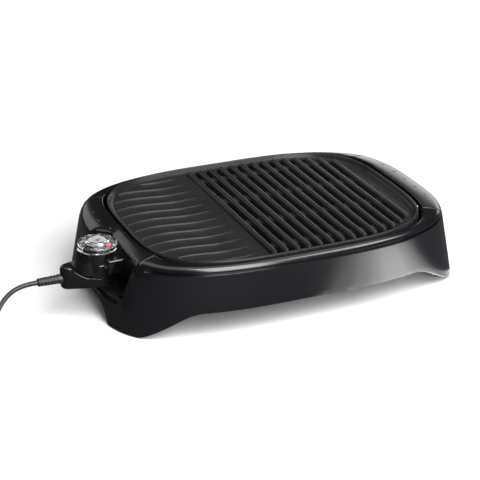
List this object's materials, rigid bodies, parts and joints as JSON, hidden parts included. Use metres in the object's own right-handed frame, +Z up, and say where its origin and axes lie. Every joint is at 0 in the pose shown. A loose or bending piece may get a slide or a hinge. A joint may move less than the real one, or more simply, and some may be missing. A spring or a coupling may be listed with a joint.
{
  "type": "electric indoor grill",
  "caption": "Countertop electric grill: slotted non-stick cooking grid with handles in a black base, drip tray and plug-in temperature control with a clear knob.",
  "frame": {"origin": "on the table under the middle of the whole product without its cord", "axes": "+X along the length away from the temperature control, +Y towards the back of the kitchen counter, +Z up"},
  "size_m": [0.6819, 0.306, 0.0956],
  "materials": {
    "base_black": "moulded black plastic, glossy on the rim and satin on the skirt",
    "handle_grey": "dark grey heat-resistant moulding, semi-gloss",
    "grid_coating": "charcoal non-stick coating on cast aluminium",
    "tray_coating": "dark non-stick coating on pressed metal",
    "heater_sheath": "heat-tinted sheath of the heater",
    "bright_steel": "plated steel",
    "polished_steel": "polished stainless tube",
    "white_ceramic": "steatite beads",
    "shroud_black": "black heat-resistant moulding",
    "control_black": "satin black housing",
    "carrier_brown": "brown phenolic moulding",
    "contact_brass": "brass, plain",
    "bimetal": "rolled two-metal strip",
    "lamp_red": "red lens of the indicator lamp",
    "knob_clear": "clear moulded plastic",
    "knob_grey": "light grey disc under the clear knob",
    "foot_rubber": "soft black rubber",
    "cord_black": "black flexible cord jacket"
  },
  "bodies": {
    "base": {"base_shell": "base_black", "rubber_feet": "foot_rubber"},
    "drip_tray": {"drip_tray": "tray_coating"},
    "cooking_grid": {"grid_plate": "grid_coating", "heating_element": "heater_sheath", "terminal_pins": "bright_steel", "pin_insulators": "white_ceramic", "element_clips": "bright_steel", "clip_screws": "bright_steel", "socket_shroud": "shroud_black", "shroud_screws": "bright_steel", "left_handle": "handle_grey", "right_handle": "handle_grey", "handle_screws": "bright_steel"},
    "temperature_control": {"control_upper_shell": "control_black", "control_lower_shell": "control_black", "control_screws": "bright_steel", "sensor_tube": "polished_steel", "contact_carrier": "carrier_brown", "contact_sleeves": "contact_brass", "switch_blades": "contact_brass", "bimetal_arm": "bimetal", "indicator_lamp": "lamp_red", "strain_relief": "cord_black", "power_cord": "cord_black", "cord_coil": "cord_black", "cord_tie": "foot_rubber", "plug_body": "cord_black", "plug_blades": "contact_brass"},
    "knob": {"temperature_knob": "knob_clear", "knob_insert": "knob_grey", "control_spindle": "contact_brass"}
  },
  "joints": [
    {"name": "grid_lift", "type": "slide", "parent": "base", "child": "cooking_grid", "axis": [0, 0, 1], "range_m": [0, 0.16]},
    {"name": "tray_lift", "type": "slide", "parent": "base", "child": "drip_tray", "axis": [0, 0, 1], "range_m": [0, 0.08]},
    {"name": "probe_pull", "type": "slide", "parent": "cooking_grid", "child": "temperature_control", "axis": [-1, 0, 0], "range_m": [0, 0.075]},
    {"name": "knob_turn", "type": "hinge", "parent": "temperature_control", "child": "knob", "pos_m": [-0.2003, -0.037, 0.088], "axis": [0, 0, -1], "range_deg": [0, 270]}
  ],
  "couplings": [
    {"joint": "tray_lift", "follows": "grid_lift", "ratio": 0.5}
  ]
}
